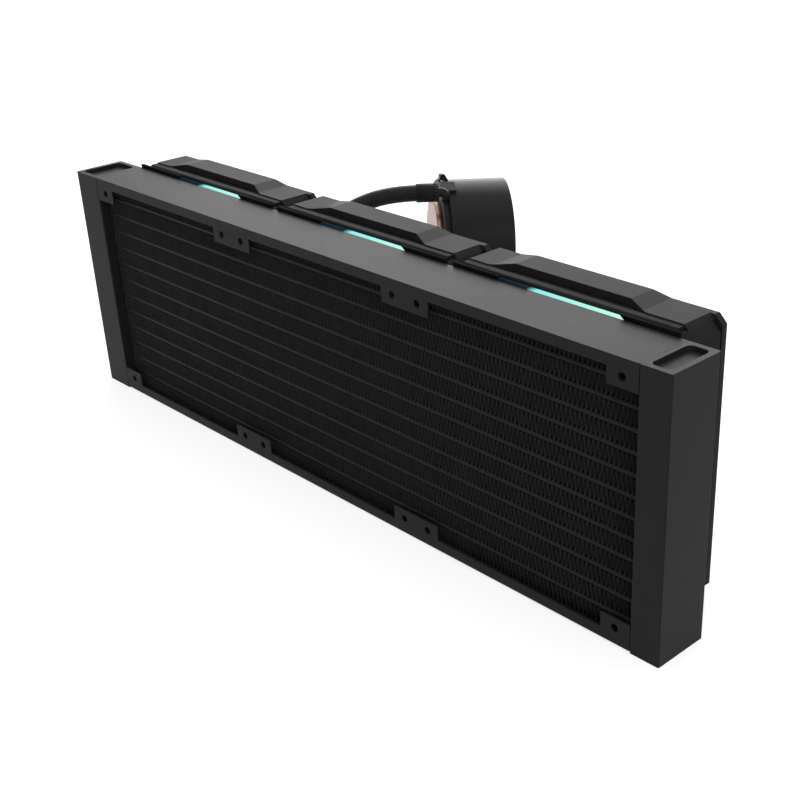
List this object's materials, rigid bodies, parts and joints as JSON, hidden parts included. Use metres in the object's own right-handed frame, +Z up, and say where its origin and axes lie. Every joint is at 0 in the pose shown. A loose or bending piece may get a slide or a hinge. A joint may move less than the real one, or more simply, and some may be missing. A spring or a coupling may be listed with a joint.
{
  "type": "all in one cpu liquid cooler",
  "caption": "Black liquid cooler for a processor: a long radiator with lit fans, joined by hoses to a round pump block.",
  "frame": {"origin": "centre of the middle fan position's screw holes, on the radiator's bare front face", "axes": "+X along the radiator away from the hose tank, +Y from the bare face towards the fans, +Z up"},
  "size_m": [0.394, 0.2669, 0.1225],
  "materials": {
    "radiator_coat": "satin",
    "core_coat": "matte",
    "frame_plastic": "matte",
    "bezel_plastic": "satin",
    "rotor_plastic": "satin",
    "light_guide": "gloss",
    "board_laminate": "satin",
    "winding_stack": "satin",
    "bearing_bronze": "satin",
    "shaft_steel": "satin",
    "magnet_ferrite": "matte",
    "screw_black": "satin",
    "copper_plate": "satin",
    "plate_screw_steel": "satin",
    "ring_plastic": "satin",
    "seal_rubber": "matte",
    "housing_coat": "satin",
    "lid_gloss": "gloss",
    "pump_plastic": "matte",
    "impeller_plastic": "satin",
    "fitting_black": "satin",
    "collar_black": "satin",
    "hose_sleeve": "matte"
  },
  "bodies": {
    "cooler": {"left_tank": "radiator_coat", "right_tank": "radiator_coat", "tank_end_plates": "radiator_coat", "top_rail": "radiator_coat", "bottom_rail": "radiator_coat", "coolant_tubes": "core_coat", "fin_strips": "core_coat", "fan_screws": "screw_black", "upper_tank_barb": "fitting_black", "lower_tank_barb": "fitting_black", "upper_tank_collar": "collar_black", "lower_tank_collar": "collar_black", "upper_elbow": "fitting_black", "lower_elbow": "fitting_black", "upper_pump_collar": "collar_black", "lower_pump_collar": "collar_black", "upper_hose": "hose_sleeve", "lower_hose": "hose_sleeve", "cold_plate": "copper_plate", "cold_plate_screws": "plate_screw_steel", "base_ring": "ring_plastic", "plate_seal": "seal_rubber", "pump_housing": "housing_coat", "pump_lid": "lid_gloss", "chamber_plate": "pump_plastic", "rotor_can": "pump_plastic", "pump_board": "board_laminate", "pump_shaft": "shaft_steel", "pump_stator": "winding_stack", "left_fan_frame": "frame_plastic", "left_fan_bezel": "bezel_plastic", "left_fan_lights": "light_guide", "left_fan_bearing": "bearing_bronze", "left_fan_stator": "winding_stack", "left_fan_board": "board_laminate", "middle_fan_frame": "frame_plastic", "middle_fan_bezel": "bezel_plastic", "middle_fan_lights": "light_guide", "middle_fan_bearing": "bearing_bronze", "middle_fan_stator": "winding_stack", "middle_fan_board": "board_laminate", "right_fan_frame": "frame_plastic", "right_fan_bezel": "bezel_plastic", "right_fan_lights": "light_guide", "right_fan_bearing": "bearing_bronze", "right_fan_stator": "winding_stack", "right_fan_board": "board_laminate"},
    "left_rotor": {"left_fan_rotor": "rotor_plastic", "left_fan_magnet": "magnet_ferrite", "left_fan_shaft": "shaft_steel"},
    "middle_rotor": {"middle_fan_rotor": "rotor_plastic", "middle_fan_magnet": "magnet_ferrite", "middle_fan_shaft": "shaft_steel"},
    "right_rotor": {"right_fan_rotor": "rotor_plastic", "right_fan_magnet": "magnet_ferrite", "right_fan_shaft": "shaft_steel"},
    "pump_rotor": {"impeller": "impeller_plastic"}
  },
  "joints": [
    {"name": "left_fan_spin", "type": "hinge", "parent": "cooler", "child": "left_rotor", "pos_m": [-0.12, 0.04, 0], "axis": [0, 1, 0], "continuous": true},
    {"name": "middle_fan_spin", "type": "hinge", "parent": "cooler", "child": "middle_rotor", "pos_m": [0, 0.04, 0], "axis": [0, 1, 0], "continuous": true},
    {"name": "right_fan_spin", "type": "hinge", "parent": "cooler", "child": "right_rotor", "pos_m": [0.12, 0.04, 0], "axis": [0, 1, 0], "continuous": true},
    {"name": "pump_spin", "type": "hinge", "parent": "cooler", "child": "pump_rotor", "pos_m": [-0.13829, 0.22404, -0.02151], "axis": [0.5775, 0.8156, -0.0349], "continuous": true}
  ]
}
